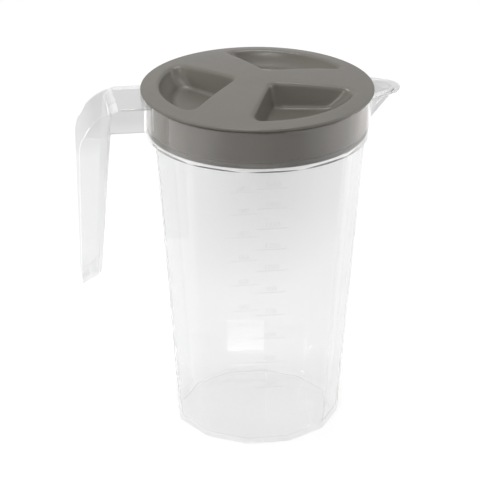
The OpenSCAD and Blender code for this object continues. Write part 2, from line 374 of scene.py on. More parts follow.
# %% [markdown]
# # Clear plastic
# Real clear plastic bends light strongly, and in a plain room a jug made so fills with dark, busy lines.
# The picture shows a soft, pale jug. So this shader bends light only a little, and a coat with the
# plastic's true index gives the gleam. Faint ripples from the mould break it up.

# %% Clear plastic
clear_finish, clear_tree, clear_shader = new_finish("clear_moulded_plastic")
clear_shader.inputs["Transmission Weight"].default_value = 0.985
clear_shader.inputs["IOR"].default_value = 1.045
clear_shader.inputs["Coat Weight"].default_value = 1
clear_shader.inputs["Coat IOR"].default_value = 1.49
clear_shader.inputs["Coat Roughness"].default_value = 0.04
two_tones(clear_tree, clear_shader, dark=(0.96, 0.962, 0.962), light=(0.975, 0.977, 0.976), cells=14)
roughen(clear_tree, clear_shader, low=0.05, high=0.09, cells=60)
dent(clear_tree, clear_shader, cells=45, detail=1.0, strength=0.06, depth=0.3 * MM)
print("clear finish nodes:", len(clear_tree.nodes))

# %% [markdown]
# # Raised marks
# The scale's lines are the same plastic, raised a little, and are barely darker than the wall. A coat
# would make them sparkle, so they have none, and their tone is painted a touch greyer, as painted shade.

# %% Raised marks
marks_finish, marks_tree, marks_shader = new_finish("clear_raised_marks")
marks_shader.inputs["Transmission Weight"].default_value = 1
marks_shader.inputs["IOR"].default_value = 1.03
# A touch greyer than the wall: painted shade on the same plastic.
two_tones(marks_tree, marks_shader, dark=(0.945, 0.947, 0.947), light=(0.962, 0.964, 0.964), cells=200)
roughen(marks_tree, marks_shader, low=0.05, high=0.12, cells=300)
print("marks finish nodes:", len(marks_tree.nodes))

# %% [markdown]
# # Lid plastic
# The lid is satin taupe plastic with the fine grain of an etched mould. A flat colour would look like
# paint, so two near tones drift over it, and a fine bump breaks its gleam.

# %% Lid plastic
SATIN = {"low": 0.32, "high": 0.40, "cells": 180}
lid_finish, lid_tree, lid_shader = new_finish("satin_taupe_plastic")
two_tones(lid_tree, lid_shader, dark=(0.128, 0.118, 0.102), light=(0.140, 0.130, 0.113), cells=30,
          detail=4.0)
roughen(lid_tree, lid_shader, **SATIN)
dent(lid_tree, lid_shader, cells=2600, detail=3.0, strength=0.12, depth=0.08 * MM)
print("lid finish nodes:", len(lid_tree.nodes))

# %% [markdown]
# # Skirt plastic
# The skirt is the same plastic as the lid, but it is seen through the collar, whose gleam lies over it.
# So its tones are painted darker than the lid's, as painted shade under that gleam. A warm sheen
# lightens it where it turns away, because the band in the picture gets lighter towards its ends.

# %% Skirt plastic
skirt_finish, skirt_tree, skirt_shader = new_finish("satin_taupe_skirt")
skirt_shader.inputs["Sheen Weight"].default_value = 1
skirt_shader.inputs["Sheen Roughness"].default_value = 0.45
skirt_shader.inputs["Sheen Tint"].default_value = (1, 0.88, 0.76, 1)
skirt_shader.inputs["Specular Tint"].default_value = (1, 0.9, 0.8, 1)
# Tones painted darker than the lid's: painted shade on the same plastic.
two_tones(skirt_tree, skirt_shader, dark=(0.044, 0.036, 0.027), light=(0.050, 0.042, 0.032), cells=30,
          detail=4.0)
roughen(skirt_tree, skirt_shader, **SATIN)
print("skirt finish nodes:", len(skirt_tree.nodes))

# %% [markdown]
# # Soft seal
# The seal is soft and matt. A glossy ring would look like hard plastic, so it is rougher than the lid,
# and a stronger bump dulls it.

# %% Soft seal
seal_finish, seal_tree, seal_shader = new_finish("soft_taupe_seal")
two_tones(seal_tree, seal_shader, dark=(0.088, 0.080, 0.067), light=(0.098, 0.089, 0.076), cells=80,
          detail=3.0)
roughen(seal_tree, seal_shader, low=0.6, high=0.75, cells=400)
dent(seal_tree, seal_shader, cells=3000, detail=2.0, strength=0.2, depth=0.08 * MM)
print("seal finish nodes:", len(seal_tree.nodes))

# %% [markdown]
# # From mesh to piece
# Every piece ends the same way: its mesh gets a finish and smooth shading, and the piece is tied to the
# body that it moves with. Each piece could do that for itself, but one helper leaves no piece out.

# %% Finish a piece
SHARP_TURN = math.radians(38)


def make_piece(name, bm, finish, body, nodes):
    """Turns a bmesh into a finished piece that stands for CAD nodes."""
    mesh = bpy.data.meshes.new(name)
    bmesh.ops.recalc_face_normals(bm, faces=bm.faces[:])
    bm.to_mesh(mesh)
    bm.free()
    mesh.shade_smooth()
    mesh.set_sharp_from_angle(angle=SHARP_TURN)
    mesh.materials.append(finish)
    piece = bpy.data.objects.new(name, mesh)
    scene.collection.objects.link(piece)
    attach(piece, body)
    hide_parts(*nodes)
    print(name, "faces:", len(mesh.polygons), "size in mm:", in_mm(piece.dimensions))
    return piece


# %% [markdown]
# # Jug
# The jug is one clear moulding: a flat floor, a tapered wall of twelve flat sides with soft corners, a
# round collar and a beak. Solids joined by booleans would leave seams that show through clear plastic.
# So one ring of points is extruded from the base up the outside, over the rim, and down the inside to
# the floor. Every ring has the same points, so sides, circle and beak flow into each other.
# The collar's wall is thinner here than in the solids: this clear finish bends light less than real
# plastic does, and a thin wall lets the lid's band fill the collar as it does in the picture.

# %% Sizes of the jug
SIDES = 12
SIDE_TURN = math.tau / SIDES
COLLAR_WALL = 1 * MM
_, floor_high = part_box("jug_floor")
_, wall_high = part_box("jug_wall")
_, collar_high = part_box("jug_collar")
floor_top = floor_high.z
body_top = wall_high.z
rim_z = collar_high.z
collar_r = collar_high.y
bore_r = collar_r - COLLAR_WALL
flat_slope = (wall_high.x - floor_high.x) / (wall_high.z - floor_high.z)


def flat_out(z):
    """Distance from the axis to the middle of a flat side."""
    return floor_high.x + flat_slope * (z - floor_top)


print("flat sides at base and top in mm:", in_mm((flat_out(0), flat_out(body_top))))

# %% Spots round a ring
CORNER_POINTS = 6
PLAIN_PARTS = 5
NEAR_SPOUT_PARTS = 24
SPOUT_PARTS = 60
flat_parts = {SIDES - 1: SPOUT_PARTS, SIDES - 2: NEAR_SPOUT_PARTS, 0: NEAR_SPOUT_PARTS}


def cuts(parts):
    """Fractions that cut a length into equal parts, its ends left out."""
    return [i / parts for i in range(1, parts)]


ring_spots = []
for corner in range(SIDES):
    ring_spots += [(corner, True, i / (CORNER_POINTS - 1)) for i in range(CORNER_POINTS)]
    ring_spots += [(corner, False, f) for f in cuts(flat_parts.get(corner, PLAIN_PARTS))]
print("points in a ring:", len(ring_spots))

# %% Points on sides and corners
CORNER_ROUND = 8 * MM


def corner_point(corner, fraction, flat, bend):
    """Point on the rounded corner between two flat sides."""
    turn = (corner + 0.5) * SIDE_TURN
    centre = (flat - bend) / math.cos(SIDE_TURN / 2)
    lean = turn + (fraction - 0.5) * SIDE_TURN
    x = centre * math.cos(turn) + bend * math.cos(lean)
    y = centre * math.sin(turn) + bend * math.sin(lean)
    return Vector((x, y))


def side_point(spot, flat, bend):
    """Point on the twelve-sided ring, on a corner or on a flat side."""
    corner, on_corner, fraction = spot
    if on_corner:
        return corner_point(corner, fraction, flat, bend)
    return corner_point(corner, 1, flat, bend).lerp(corner_point(corner + 1, 0, flat, bend), fraction)


def turn_of(spot):
    """Turn about the axis at which a spot lies."""
    point = side_point(spot, collar_r, CORNER_ROUND)
    return math.atan2(point.y, point.x)


spot_turns = [turn_of(spot) for spot in ring_spots]
print("first point at degrees:", round(math.degrees(spot_turns[0]), 2))

# %% Rings of sides and circles
ROUND_STEPS = 6


def side_ring(z, flat, bend):
    return [(*side_point(spot, flat, bend), z) for spot in ring_spots]


def polar_ring(z, radii):
    return [(r * math.cos(t), r * math.sin(t), z) for r, t in zip(radii, spot_turns)]


def round_ring(z, radius):
    return polar_ring(z, [radius] * len(spot_turns))


def spread(low, high, count):
    """Evenly spread values, both ends among them."""
    return [low + (high - low) * i / (count - 1) for i in range(count)]


# Each step of a quarter circle has a share that falls from 1 to 0 and one that rises from 0 to 1.
QUARTER = [(1 - math.sin(a), 1 - math.cos(a)) for a in spread(0, math.pi / 2, ROUND_STEPS)]
print("steps in a quarter circle:", len(QUARTER))

# %% [markdown]
# # Beak
# The spout grows out of the collar: a keel rises from low on the collar to a wide round tip, and a bead
# runs round its lip. Seen from above it is a wedge with a rounded tip. A beak of its own would meet the
# collar in a seam. So the ring's radius is the larger of the collar's and the wedge's, blended where
# they meet, and the root gets its soft fillet.

# %% Sizes of the beak
KEEL_DEEP = 22 * MM
WEDGE_HALF = math.radians(28)
WEDGE_REACH = math.radians(40)
TIP_ROUND = 13 * MM
_, spout_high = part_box("jug_spout")
tip_x = spout_high.x
keel_z = rim_z - KEEL_DEEP
print("tip and keel's foot in mm:", in_mm((tip_x, keel_z)))


# %% Plan of the beak
def wedge_radius(turn, centre, bend):
    """Radius of a wedge whose tip is rounded about a centre on the X axis."""
    turn = abs(turn)
    if turn > WEDGE_REACH:
        return 0
    apex = centre + bend / math.sin(WEDGE_HALF)
    straight = apex / (math.cos(turn) + math.sin(turn) / math.tan(WEDGE_HALF))
    touch = Vector((centre + bend * math.sin(WEDGE_HALF), bend * math.cos(WEDGE_HALF)))
    if turn > math.atan2(touch.y, touch.x):
        return straight
    across = centre * math.sin(turn)
    return centre * math.cos(turn) + math.sqrt(max(bend * bend - across * across, 0))


def beak_radius(turn, z, foot_x, foot_z, top_z, inset, least_bend=0):
    """Radius of the beak at a height, from its foot on the keel to its plan at the top."""
    rise = (z - foot_z) / (top_z - foot_z)
    if rise <= 0:
        return 0
    centre = foot_x + (tip_x - TIP_ROUND - foot_x) * rise
    bend = (TIP_ROUND - inset) * rise
    fuller = max(least_bend - bend, 0)
    return wedge_radius(turn, centre - fuller, bend + fuller)


print("beak's plan ahead in mm:", in_mm([beak_radius(0, rim_z, collar_r, keel_z, rim_z, 0)]))

# %% Blend the beak into the collar
LIP_OUT = 2 * MM
LIP_HIGH = 2 * MM
ROOT_BLEND = 3.5 * MM


def blend_larger(a, b, width):
    """The larger of two radii, with a fillet where they meet."""
    near = max(width - abs(a - b), 0) / width
    return max(a, b) + near * near * width / 4


def bead(z):
    """How far the lip's bead has swelled at a height, from 0 at its foot to 1 from its middle up."""
    under = max((rim_z - LIP_HIGH / 2 - z) / (LIP_HIGH / 2), 0)
    return math.sqrt(max(1 - under * under, 0))


def outside_radius(turn, z):
    """Radius of the collar's outside, with the keel and the lip's bead."""
    keel = beak_radius(turn, z, collar_r, keel_z, rim_z, LIP_OUT)
    lip = beak_radius(turn, rim_z, collar_r, keel_z, rim_z, 0)
    return blend_larger(collar_r, keel + (lip - keel) * bead(z), ROOT_BLEND)


print("lip ahead in mm:", in_mm([outside_radius(0, rim_z)]))

# %% Hollow the beak's channel
SPOUT_WALL = 1.8 * MM
CHANNEL_ROUND = 3 * MM
CHANNEL_OVER = 1 * MM
keel_wall = SPOUT_WALL / math.cos(WEDGE_HALF)


def inside_radius(turn, z):
    """Radius of the collar's bore, with the beak's channel."""
    foot_x = collar_r - keel_wall
    foot_z = keel_z + 2 * keel_wall
    inset = LIP_OUT + SPOUT_WALL
    channel = beak_radius(turn, z, foot_x, foot_z, rim_z + CHANNEL_OVER, inset, CHANNEL_ROUND)
    return blend_larger(bore_r, channel, ROOT_BLEND)


print("channel ahead in mm:", in_mm([inside_radius(0, rim_z)]))

# %% [markdown]
# # Profile of the jug
# The rings below follow the jug's section, from the base up the outside and down the inside. Every edge
# of a moulding is a little round, and these small rounds catch the light. A bevel could make them, but
# it would disturb the even rings, so each corner of the section is a quarter circle of a few rings.

# %% Walk up the wall
BASE_ROUND = 1.3 * MM
NECK_ROUND = 0.8 * MM
FOOT_WIDE = 3.5 * MM
FOOT_DEEP = 0.9 * MM
# How far in and how high each ring of the recess under the base lies, in parts of its depth.
FOOT_STEPS = ((1.6, 1), (0.8, 0.75), (0, 0))
WALL_RINGS = 12
RING_GAP = 1 * MM
foot_in = flat_out(0) - BASE_ROUND - FOOT_WIDE
rings = []
for inward, upward in FOOT_STEPS:
    drawn_in = FOOT_DEEP * inward
    rings.append(side_ring(FOOT_DEEP * upward, foot_in - drawn_in, CORNER_ROUND - BASE_ROUND - drawn_in))
for falling, rising in QUARTER:
    drawn_in = BASE_ROUND * falling
    rings.append(side_ring(BASE_ROUND * rising, flat_out(0) - drawn_in, CORNER_ROUND - drawn_in))
for z in spread(BASE_ROUND + RING_GAP, body_top - NECK_ROUND - RING_GAP, WALL_RINGS):
    rings.append(side_ring(z, flat_out(z), CORNER_ROUND))
for falling, rising in QUARTER:
    out = NECK_ROUND * rising
    rings.append(side_ring(body_top - NECK_ROUND * falling, flat_out(body_top) + out, CORNER_ROUND + out))
print("rings up the wall:", len(rings))

# %% Walk up the collar
COLLAR_ROUND = 1.4 * MM
COLLAR_GAP = 0.6 * MM
COLLAR_RINGS = 26
BEAD_RINGS = 9
RIM_ROUND = 0.9 * MM
lip_z = rim_z - RIM_ROUND
bead_foot = rim_z - LIP_HIGH
for falling, rising in QUARTER:
    rings.append(round_ring(body_top + COLLAR_ROUND * rising, collar_r - COLLAR_ROUND * falling))
collar_heights = spread(body_top + COLLAR_ROUND + COLLAR_GAP, bead_foot, COLLAR_RINGS)
collar_heights += spread(bead_foot, lip_z, BEAD_RINGS)[1:]
for z in collar_heights:
    rings.append(polar_ring(z, [outside_radius(t, z) for t in spot_turns]))
print("rings up the outside:", len(rings))

# %% Turn over the rim
RIM_FULL = 0.65
RIM_STEPS = 15
lip_out = [outside_radius(t, lip_z) for t in spot_turns]
lip_in = [inside_radius(t, lip_z) for t in spot_turns]
for a in spread(0, math.pi, RIM_STEPS)[1:-1]:
    across = math.copysign(abs(math.cos(a)) ** RIM_FULL, math.cos(a))
    radii = [(o + i) / 2 + (o - i) / 2 * across for o, i in zip(lip_out, lip_in)]
    rings.append(polar_ring(lip_z + RIM_ROUND * math.sin(a) ** RIM_FULL, radii))
print("rings with the rim:", len(rings))

# %% Walk down the inside
WALL = 2 * MM
LEDGE_UP = 2 * MM
LEDGE_ROUND = 0.6 * MM
FLOOR_ROUND = 2 * MM
INNER_CORNER = 7 * MM
BORE_RINGS = 30
ledge_z = body_top + LEDGE_UP
for z in spread(lip_z, ledge_z + LEDGE_ROUND, BORE_RINGS):
    rings.append(polar_ring(z, [inside_radius(t, z) for t in spot_turns]))
for falling, rising in QUARTER[1:]:
    rings.append(round_ring(ledge_z + LEDGE_ROUND * falling, bore_r - LEDGE_ROUND * rising))
for falling, rising in QUARTER:
    out = LEDGE_ROUND * falling
    z = ledge_z - LEDGE_ROUND * rising
    rings.append(side_ring(z, flat_out(ledge_z) - WALL + out, INNER_CORNER + out))
for z in spread(ledge_z - LEDGE_ROUND - RING_GAP, floor_top + FLOOR_ROUND + RING_GAP, WALL_RINGS):
    rings.append(side_ring(z, flat_out(z) - WALL, INNER_CORNER))
for falling, rising in QUARTER:
    drawn_in = FLOOR_ROUND * rising
    z = floor_top + FLOOR_ROUND * falling
    rings.append(side_ring(z, flat_out(floor_top) - WALL - drawn_in, INNER_CORNER - drawn_in))
print("rings in all:", len(rings))


# %% Extrude ring by ring
def ring_edges(bm, ring):
    return [bm.edges.get((ring[i - 1], ring[i])) for i in range(len(ring))]


def grow(bm, ring, points):
    """Extrudes a closed ring and puts the new ring on its points."""
    made = bmesh.ops.extrude_edge_only(bm, edges=ring_edges(bm, ring))["geom"]
    fresh = {v for v in made if isinstance(v, bmesh.types.BMVert)}
    grown = [next(e.other_vert(v) for e in v.link_edges if e.other_vert(v) in fresh) for v in ring]
    for v, point in zip(grown, points):
        v.co = point
    return grown


jug_bm = bmesh.new()
ring = bmesh.ops.create_circle(jug_bm, cap_ends=True, segments=len(ring_spots), radius=collar_r)["verts"]
for v, point in zip(ring, rings[0]):
    v.co = point
for points in rings[1:]:
    ring = grow(jug_bm, ring, points)
bmesh.ops.edgeloop_fill(jug_bm, edges=ring_edges(jug_bm, ring))
make_piece("jug_shell", jug_bm, clear_finish, "jug",
           ["jug_floor", "jug_wall", "jug_collar", "jug_spout"])

# %% [markdown]
# # Handle
# The handle is an open hook: two thin side plates joined by a web. The web is the top plate of the arm.
# At the bend it leaves the outer edge, and it becomes the leg's face towards the jug, so the leg is a
# trough that is open outwards. The plates close in towards the tip. A solid hook could be hollowed out,
# but the trough's bend is hard to cut. So one plate is drawn flat and extruded to its thickness, the
# web is extruded from it to the middle, and the half is mirrored.

# %% Sizes of the handle
WEB = 2 * MM
BEND_IN = 5 * MM
LEG_DEEP_TOP = 19 * MM
LEG_DEEP_END = 12.2 * MM
END_ROUND = 9 * MM
END_DROP = 3.4 * MM
leg_low, leg_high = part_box("handle_leg")
_, arm_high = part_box("handle_arm")
hook_out = -leg_low.x
hook_tip = leg_low.z
hook_half = leg_high.y
arm_top = arm_high.z
seam_z = leg_high.z
arm_root = collar_r - COLLAR_WALL / 2
leg_in_top = hook_out - LEG_DEEP_TOP
leg_in_end = hook_out - LEG_DEEP_END
bend_z = arm_top - WEB - BEND_IN
end_z = hook_tip + END_DROP + END_ROUND
leg_lean = math.atan((leg_in_end - leg_in_top) / (bend_z - end_z))
end_lean = math.atan(END_DROP / (hook_out - leg_in_end))
print("handle's reach and tip in mm:", in_mm((hook_out, hook_tip)))

# %% Lines of the web
BEND_STEPS = 19
END_STEPS = 11
web_centre = Vector((leg_in_top - BEND_IN, bend_z))
end_centre = Vector((leg_in_end + END_ROUND, end_z))


def arc(centre, radius, start, stop, steps):
    """Points on an arc, seen from the side: distance from the axis and height."""
    return [Vector((centre[0] + radius * math.cos(a), centre[1] + radius * math.sin(a)))
            for a in spread(start, stop, steps)]


def web_line(gap):
    """The web's face on the jug's side, or its other face when a gap is given."""
    line = [Vector((arm_root, arm_top - WEB + gap))]
    line += arc(web_centre, BEND_IN + gap, math.pi / 2, leg_lean, BEND_STEPS)
    line += arc(end_centre, END_ROUND - gap, math.pi + leg_lean, 1.5 * math.pi - end_lean, END_STEPS)
    return line + [Vector((hook_out, hook_tip + gap))]


inner_line = web_line(0)
outer_line = web_line(WEB)
print("points along the web:", len(inner_line))

# %% Let the web leave the outer edge
BEND_OUT = 28 * MM
LEAVE_LEAN = math.radians(72)
HOOK_STEPS = 31
HOOK_GAP = 1 * MM
hook_centre = Vector((hook_out - BEND_OUT, arm_top - BEND_OUT))
bend_leans = spread(math.pi / 2, leg_lean, BEND_STEPS)


def reach_hook(lean):
    """Distance from the centre of the web's bend to the handle's outer edge, along a lean."""
    along = Vector((math.cos(lean), math.sin(lean)))
    off = web_centre - hook_centre
    half = off.dot(along)
    return -half + math.sqrt(half * half - off.length_squared + BEND_OUT ** 2)


for i, lean in enumerate(bend_leans):
    far = reach_hook(max(lean, LEAVE_LEAN))
    if lean < LEAVE_LEAN:
        still_out = (lean - leg_lean) / (LEAVE_LEAN - leg_lean)
        far = BEND_IN + WEB + (far - BEND_IN - WEB) * still_out ** 2
    outer_line[1 + i] = web_centre + Vector((math.cos(lean), math.sin(lean))) * far
leave = next(i for i, lean in enumerate(bend_leans) if lean < LEAVE_LEAN)
hook_edge = [p for p in arc(hook_centre, BEND_OUT, math.pi / 2, 0, HOOK_STEPS)
             if p.x > outer_line[leave].x + HOOK_GAP]
print("points along the outer edge:", len(hook_edge))

# %% Draw one side plate
WEB_MARK = 1
handle_bm = bmesh.new()


def on_plate(point):
    return handle_bm.verts.new((-point.x, -hook_half, point.y))


inner_verts = [on_plate(p) for p in inner_line]
outer_verts = [on_plate(p) for p in outer_line]
edge_verts = [on_plate(p) for p in hook_edge]
for i in range(len(inner_verts) - 1):
    corners = (inner_verts[i], inner_verts[i + 1], outer_verts[i + 1], outer_verts[i])
    web_face = handle_bm.faces.new(corners)
    web_face.material_index = WEB_MARK
handle_bm.faces.new(outer_verts[leave:] + edge_verts[::-1])
print("faces of the web's edge and the leg:", len(handle_bm.faces))

# %% Close the plate under the arm
MERGE = 0.01 * MM
seam_inner = next(i for i, p in enumerate(inner_line) if p.y < seam_z)
above = inner_line[seam_inner - 1]
below = inner_line[seam_inner]
crossing = above.lerp(below, (above.y - seam_z) / (above.y - below.y))
under_arm = inner_verts[:seam_inner]
under_arm += [on_plate(crossing), on_plate(Vector((arm_root, seam_z)))]
handle_bm.faces.new(under_arm)
long_edge = handle_bm.edges.get((inner_verts[seam_inner - 1], inner_verts[seam_inner]))
split_vert = bmesh.utils.edge_split(long_edge, inner_verts[seam_inner - 1], 0.5)[1]
split_vert.co = (-crossing.x, -hook_half, crossing.y)
bmesh.ops.remove_doubles(handle_bm, verts=handle_bm.verts[:], dist=MERGE)
print("arm's plate meets the web at mm:", in_mm(crossing))

# %% Thicken the plate and pull the web across
PLATE = 2 * MM


def pull(bm, faces, shift, keep):
    """Extrudes faces and moves the new ones."""
    made = bmesh.ops.extrude_face_region(bm, geom=faces, use_keep_orig=keep)["geom"]
    moved = [v for v in made if isinstance(v, bmesh.types.BMVert)]
    bmesh.ops.translate(bm, verts=moved, vec=shift)
    return [f for f in made if isinstance(f, bmesh.types.BMFace)]


def whole(bm):
    return bm.verts[:] + bm.edges[:] + bm.faces[:]


plate_faces = pull(handle_bm, handle_bm.faces[:], (0, PLATE, 0), True)
web_faces = [f for f in plate_faces if f.material_index == WEB_MARK]
web_faces = pull(handle_bm, web_faces, (0, hook_half - PLATE, 0), False)
bmesh.ops.delete(handle_bm, geom=web_faces, context="FACES")
# The arm's root follows the round of the collar.
for v in handle_bm.verts:
    if v.co.x > -collar_r:
        v.co.x = -math.sqrt(arm_root ** 2 - v.co.y ** 2)
for f in handle_bm.faces:
    f.material_index = 0
bmesh.ops.recalc_face_normals(handle_bm, faces=handle_bm.faces[:])
bmesh.ops.mirror(handle_bm, geom=whole(handle_bm), axis="Y", merge_dist=MERGE)
print("handle faces:", len(handle_bm.faces))

# %% Round the handle's edges
EDGE_ROUND = 0.8 * MM
EDGE_SEGMENTS = 3
HARD_EDGE = math.radians(50)
hard_edges = [e for e in handle_bm.edges
              if len(e.link_faces) == 2 and e.calc_face_angle() > HARD_EDGE
              and max(v.co.x for v in e.verts) < -collar_r]
bmesh.ops.bevel(handle_bm, geom=hard_edges, offset=EDGE_ROUND, segments=EDGE_SEGMENTS, profile=0.5,
                affect="EDGES", material=-1, clamp_overlap=True)
print("edges rounded:", len(hard_edges))

# %% Step the plates in above the seam and close them below it
SEAM_LOW = 2.5 * MM
SEAM_HALF = 0.15 * MM
SEAM_STEP = 0.8 * MM
PLATE_STEP = 0.4 * MM
TIP_WIDE = 19 * MM
FINE_MERGE = 0.001 * MM
line_z = seam_z - SEAM_LOW
inner_half = hook_half - PLATE
for z in (line_z + SEAM_HALF, line_z - SEAM_HALF):
    bmesh.ops.bisect_plane(handle_bm, geom=whole(handle_bm), dist=FINE_MERGE, plane_co=(0, 0, z),
                           plane_no=(0, 0, 1))
for v in handle_bm.verts:
    if v.co.z > line_z:
        v.co.y *= 1 - PLATE_STEP / hook_half
        round_the_bend = max(-v.co.x - (hook_out - BEND_OUT), 0) / BEND_OUT
        v.co.x += SEAM_STEP * round_the_bend ** 2
    else:
        closing = (hook_half - TIP_WIDE / 2) * (line_z - v.co.z) / (line_z - hook_tip)
        v.co.y -= math.copysign(closing * min(abs(v.co.y) / inner_half, 1), v.co.y)
    v.co.x = max(v.co.x, -hook_out)
handle = make_piece("handle_hook", handle_bm, clear_finish, "jug",
                    ["handle_arm", "handle_leg"])
flat_faces = handle.modifiers.new("flat_faces", "WEIGHTED_NORMAL")
flat_faces.keep_sharp = True

# %% [markdown]
# # Volume scale
# Fine lines and plain numbers stand out of two opposite sides of the jug, a fraction of a millimetre
# high. They follow the volume, so they crowd together as the jug widens. A bump could draw them, but
# raised marks catch the light at their edges. So a line is a cube with its edges bevelled, and a number
# is text that becomes a mesh before it is laid on the wall.

# %% Heights of the lines
SCALE_STEP = 150
SCALE_FIRST = 2
ML = 1e-6
_, scale_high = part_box("scale_front")
corner_slope = flat_slope / math.cos(SIDE_TURN / 2)
inner_corner = (flat_out(floor_top) - WALL) / math.cos(SIDE_TURN / 2)
ring_area = SIDES / 2 * math.sin(SIDE_TURN)


def level_z(ml):
    """Height of the drink's surface when the jug holds so many millilitres."""
    grown = inner_corner ** 3 + 3 * corner_slope / ring_area * ml * ML
    return floor_top + (grown ** (1 / 3) - inner_corner) / corner_slope


levels = []
while level_z(SCALE_STEP * (SCALE_FIRST + len(levels))) < scale_high.z:
    levels.append(SCALE_STEP * (SCALE_FIRST + len(levels)))
print("lines in ml:", levels)

# %% Shape a number and find its place
LINE_OUT = 0.25 * MM
SUNK = 0.1 * MM
NUMBER_HIGH = 4.6 * MM
NUMBER_CURVE = 3
flat_lean = math.atan(flat_slope)


def number_mesh(text):
    """A plain number as a thin mesh, centred and lying flat."""
    curve = bpy.data.curves.new("number", "FONT")
    curve.body = text
    curve.align_x = "CENTER"
    curve.size = NUMBER_HIGH
    curve.extrude = (LINE_OUT + SUNK) / 2
    curve.resolution_u = NUMBER_CURVE
    holder = bpy.data.objects.new("number", curve)
    scene.collection.objects.link(holder)
    bpy.context.view_layer.update()
    mesh = bpy.data.meshes.new_from_object(holder)
    bpy.data.objects.remove(holder)
    bpy.data.curves.remove(curve)
    return mesh


def on_flat(z, turn):
    """Place on a flat side: x along it, y up it, z out of it."""
    stand = Matrix.Rotation(math.pi / 2 + flat_lean, 4, "X")
    return Matrix.Rotation(turn, 4, "Z") @ Matrix.Translation((0, -flat_out(z), z)) @ stand


print("flat side leans by degrees:", round(math.degrees(flat_lean), 2))

# %% Raise the lines and numbers
LINE_LONG = 18 * MM
LINE_HIGH = 0.7 * MM
LINE_ROUND = 0.12 * MM
LINE_SEGMENTS = 2
NUMBER_LIFT = 1.1 * MM
mark_size = Matrix.Diagonal((LINE_LONG, LINE_HIGH, LINE_OUT + SUNK, 1))
mark_out = (LINE_OUT - SUNK) / 2


def scale_piece(name, turn, node):
    """Makes one scale, of lines and numbers, on the flat side at a turn."""
    bm = bmesh.new()
    for ml in levels:
        lift = Matrix.Translation((0, 0, mark_out))
        bmesh.ops.create_cube(bm, size=1, matrix=on_flat(level_z(ml), turn) @ lift @ mark_size)
    bmesh.ops.bevel(bm, geom=bm.edges[:], offset=LINE_ROUND, segments=LINE_SEGMENTS, profile=0.5,
                    affect="EDGES", material=-1)
    for ml in levels:
        mesh = number_mesh(str(ml))
        lift = Matrix.Translation((0, NUMBER_LIFT, mark_out))
        mesh.transform(on_flat(level_z(ml), turn) @ lift)
        bm.from_mesh(mesh)
        bpy.data.meshes.remove(mesh)
    bmesh.ops.remove_doubles(bm, verts=bm.verts[:], dist=FINE_MERGE)
    make_piece(name, bm, marks_finish, "jug", [node])


scale_piece("scale_marks_front", 0, "scale_front")
scale_piece("scale_marks_back", math.pi, "scale_back")

# %% [markdown]
# # Lid top
# The lid's top is a shallow dome with three finger pockets between three arms. Cutting the pockets with
# a boolean leaves hard edges, and the real pockets melt into the dome. So the dome is filled between
# its rim and the pockets' outlines, and each outline is extruded down a soft edge, a wall and a soft
# corner to the floor. Solidify then gives the skin its thickness.

# %% Sizes of the lid
CROWN = 6.5 * MM
POCKET_SKIN = 1.8 * MM
POCKET_IN = 12.5 * MM
POCKET_OUT = 58.5 * MM
POCKET_HALF = math.radians(51)
POCKET_ROUND = 6 * MM
_, cover_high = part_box("lid_cover")
pocket_low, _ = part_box("finger_pocket_handle")
lid_r = cover_high.y
crown_z = cover_high.z
dome_r = (lid_r ** 2 + CROWN ** 2) / (2 * CROWN)
pocket_floor = pocket_low.z + POCKET_SKIN


def dome_z(x, y):
    """Height of the dome's top over a point."""
    return crown_z - dome_r + math.sqrt(dome_r ** 2 - x * x - y * y)


print("lid radius and pocket floor in mm:", in_mm((lid_r, pocket_floor)))

# %% Outline of a pocket
ARC_STEPS = 11
OUTER_STEPS = 30
SIDE_PARTS = 12


def pocket_outline(inset, turn, outer_slope=0):
    """Outline of a pocket, drawn in by an inset: a wedge with round corners, its far side round the axis."""
    d = POCKET_ROUND + inset
    tip = POCKET_IN + d / math.sin(POCKET_HALF)
    ring_r = POCKET_OUT - outer_slope - d
    lean = math.tan(POCKET_HALF)
    # The side's line meets the far side's circle where a x^2 + b x + c is 0.
    a, b, c = 1 + lean ** 2, -2 * tip * lean ** 2, (tip * lean) ** 2 - ring_r ** 2
    far = (-b + math.sqrt(b * b - 4 * a * c)) / (2 * a)
    corner = Vector((far, (far - tip) * lean))
    turn_out = math.atan2(corner.y, corner.x)
    side = math.pi / 2 + POCKET_HALF
    tip_arc = arc((tip, 0), POCKET_ROUND, side, math.tau - side, ARC_STEPS)
    low_arc = arc((corner.x, -corner.y), POCKET_ROUND, -side, -turn_out, ARC_STEPS)
    out_arc = arc((0, 0), ring_r + POCKET_ROUND, -turn_out, turn_out, OUTER_STEPS)[1:-1]
    high_arc = arc((corner.x, corner.y), POCKET_ROUND, turn_out, side, ARC_STEPS)
    low_side = [tip_arc[-1].lerp(low_arc[0], f) for f in cuts(SIDE_PARTS)]
    high_side = [high_arc[-1].lerp(tip_arc[0], f) for f in cuts(SIDE_PARTS)]
    spin = Matrix.Rotation(turn, 2)
    return [spin @ p for p in tip_arc + low_side + low_arc + out_arc + high_arc + high_side]


print("points in a pocket's outline:", len(pocket_outline(0, 0)))

# %% Fill the dome between rim and pockets
POCKET_TURNS = [math.radians(a) for a in (-60, 60, 180)]
MOUTH = -2.2 * MM
RIM_POINTS = 180
FILL_ROUNDS = 8
LONGEST = 3.5 * MM
RELAX = 0.5


def inner_edges(bm):
    return [e for e in bm.edges if not e.is_boundary]


